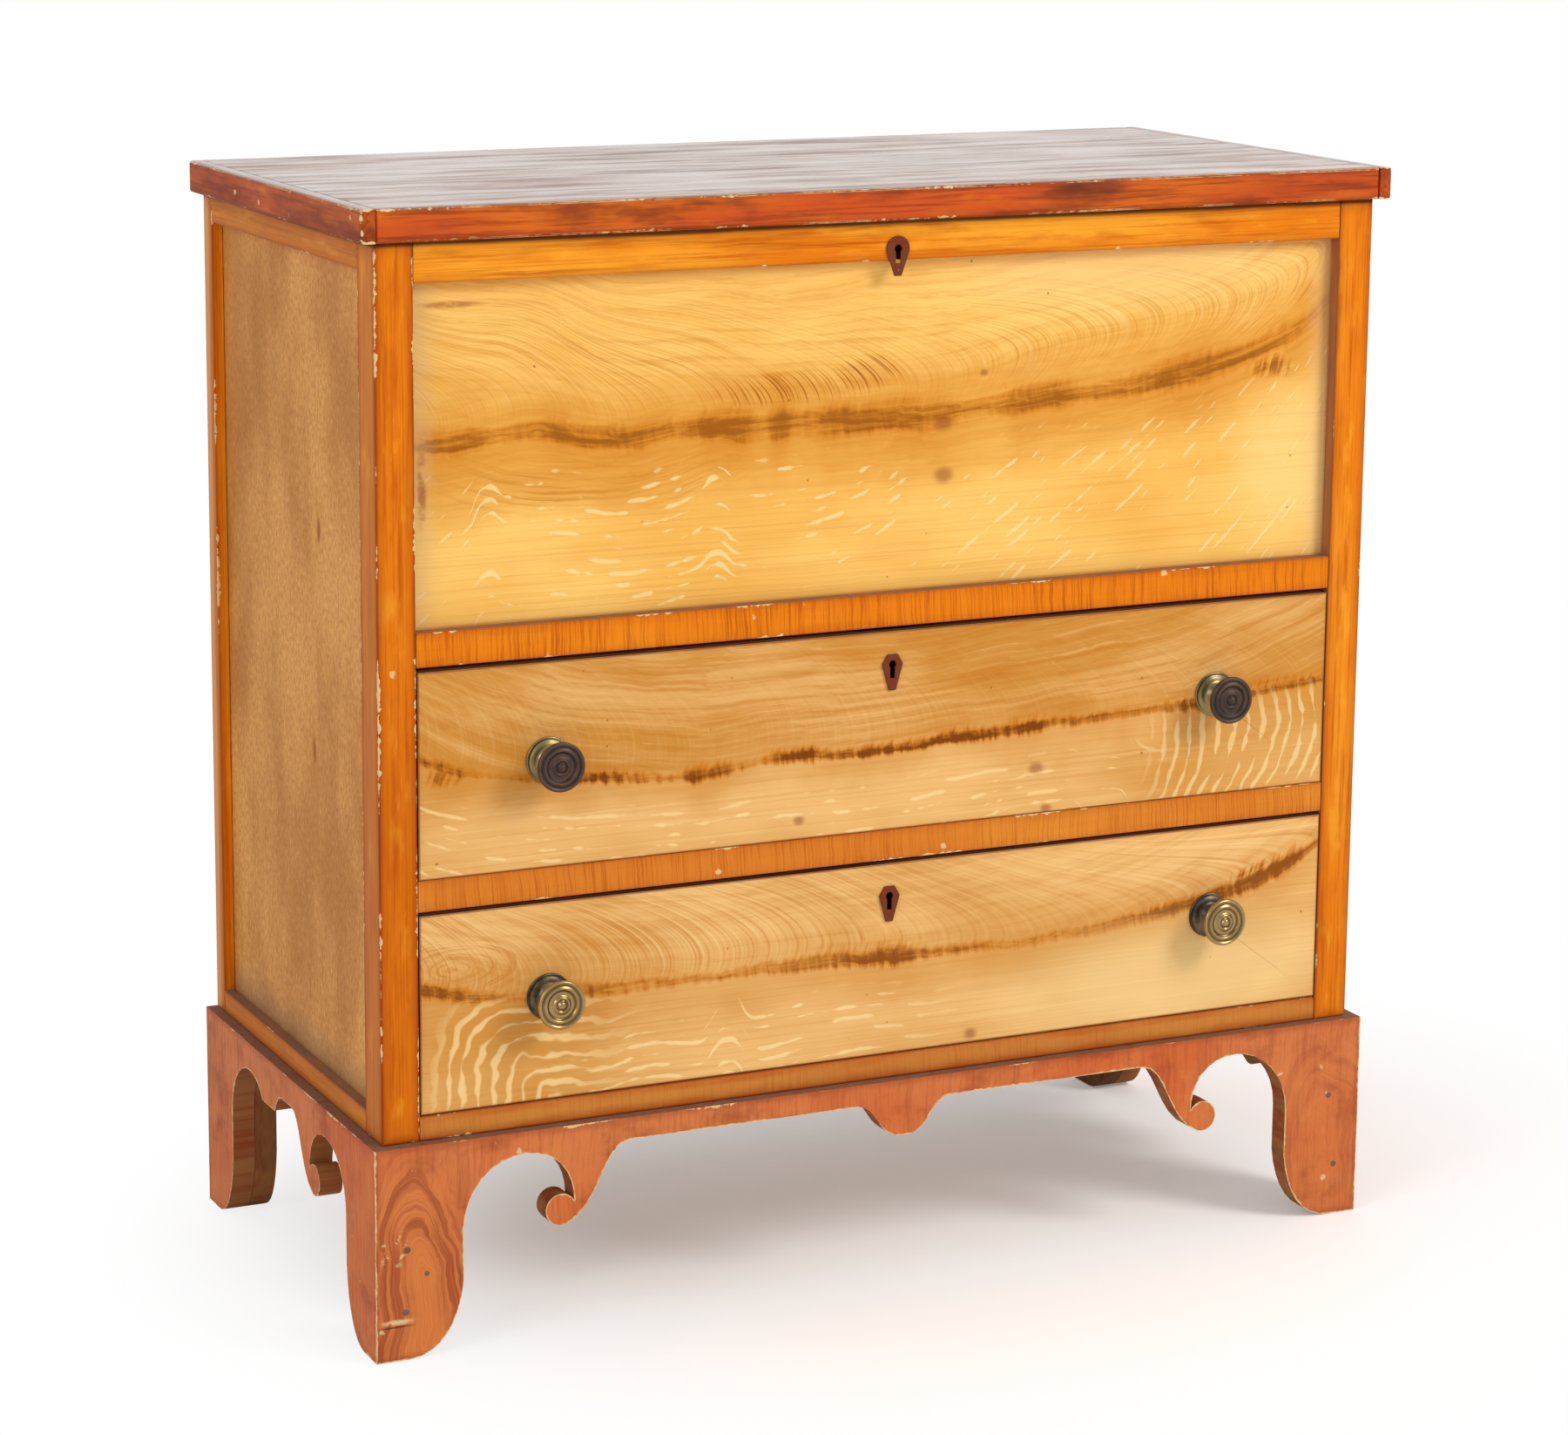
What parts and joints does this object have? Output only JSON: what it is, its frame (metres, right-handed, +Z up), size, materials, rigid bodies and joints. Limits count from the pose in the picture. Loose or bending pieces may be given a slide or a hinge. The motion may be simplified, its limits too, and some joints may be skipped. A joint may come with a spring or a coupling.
{
  "type": "mule chest",
  "caption": "Painted and grained softwood chest with a hinged lid over a deep well, long drawers with turned knobs and locks below, and a scroll-sawn bracket base.",
  "frame": {"origin": "on the floor, under the middle of the bounding box", "axes": "+X to the right as seen from the front, +Y from the drawer fronts to the back, +Z up"},
  "size_m": [1.014, 0.5056, 1.0116],
  "materials": {
    "red_base": "red-brown grained varnish over pine",
    "amber_frame": "amber grained varnish over pine",
    "ochre_panel": "ochre ground grained to look like oak, varnished",
    "tan_panel": "tan grained varnish over pine",
    "bare_pine": "bare softwood, aged and unvarnished",
    "dark_top": "dark brown worn varnish with a soft shine",
    "red_edge": "red-brown varnish, chipped along the edges",
    "dark_brass": "brass with a dark brown patina",
    "bright_brass": "turned brass, a little tarnished",
    "old_iron": "dark iron with light rust",
    "red_plate": "dark red-brown stain, satin"
  },
  "bodies": {
    "case": {"apron_front": "red_base", "apron_left": "red_base", "apron_right": "red_base", "front_post_left": "amber_frame", "front_post_right": "amber_frame", "back_post_left": "amber_frame", "back_post_right": "amber_frame", "side_top_rail_left": "amber_frame", "side_top_rail_right": "amber_frame", "side_bottom_rail_left": "amber_frame", "side_bottom_rail_right": "amber_frame", "top_front_rail": "amber_frame", "middle_rail": "amber_frame", "drawer_divider": "amber_frame", "bottom_front_rail": "amber_frame", "front_panel": "ochre_panel", "side_panel_left": "tan_panel", "side_panel_right": "tan_panel", "rear_foot_block_left": "bare_pine", "rear_foot_block_right": "bare_pine", "upper_runner_left": "bare_pine", "upper_runner_right": "bare_pine", "lower_runner_left": "bare_pine", "lower_runner_right": "bare_pine", "back_top_rail": "bare_pine", "back_board": "bare_pine", "well_floor": "bare_pine", "lid_lock_case": "old_iron", "hinge_case_leaf_left": "old_iron", "hinge_case_leaf_right": "old_iron", "lid_escutcheon": "red_plate"},
    "lid": {"lid_board": "dark_top", "lid_front_edge": "red_edge", "lid_left_edge": "red_edge", "lid_right_edge": "red_edge", "hinge_lid_leaf_left": "old_iron", "hinge_lid_leaf_right": "old_iron", "lid_link_plate": "old_iron"},
    "lid_lock_bolt": {"lid_lock_bolt": "old_iron"},
    "upper_drawer": {"upper_drawer_front": "ochre_panel", "upper_drawer_side_left": "bare_pine", "upper_drawer_side_right": "bare_pine", "upper_drawer_back": "bare_pine", "upper_drawer_bottom": "bare_pine", "upper_lock_case": "old_iron", "upper_escutcheon": "red_plate", "upper_knob_left": "dark_brass", "upper_knob_right": "dark_brass"},
    "upper_lock_bolt": {"upper_lock_bolt": "old_iron"},
    "lower_drawer": {"lower_drawer_front": "ochre_panel", "lower_drawer_side_left": "bare_pine", "lower_drawer_side_right": "bare_pine", "lower_drawer_back": "bare_pine", "lower_drawer_bottom": "bare_pine", "lower_lock_case": "old_iron", "lower_escutcheon": "red_plate", "lower_knob_left": "bright_brass", "lower_knob_right": "bright_brass"},
    "lower_lock_bolt": {"lower_lock_bolt": "old_iron"}
  },
  "joints": [
    {"name": "lid_hinge", "type": "hinge", "parent": "case", "child": "lid", "pos_m": [0, 0.24875, 0.99015], "axis": [-1, 0, 0], "range_deg": [0, 95]},
    {"name": "upper_drawer_slide", "type": "slide", "parent": "case", "child": "upper_drawer", "axis": [0, -1, 0], "range_m": [0, 0.32]},
    {"name": "lower_drawer_slide", "type": "slide", "parent": "case", "child": "lower_drawer", "axis": [0, -1, 0], "range_m": [0, 0.32]},
    {"name": "lid_bolt_slide", "type": "slide", "parent": "case", "child": "lid_lock_bolt", "axis": [1, 0, 0], "range_m": [0, 0.01]},
    {"name": "upper_bolt_slide", "type": "slide", "parent": "upper_drawer", "child": "upper_lock_bolt", "axis": [0, 0, 1], "range_m": [0, 0.01]},
    {"name": "lower_bolt_slide", "type": "slide", "parent": "lower_drawer", "child": "lower_lock_bolt", "axis": [0, 0, 1], "range_m": [0, 0.01]}
  ]
}
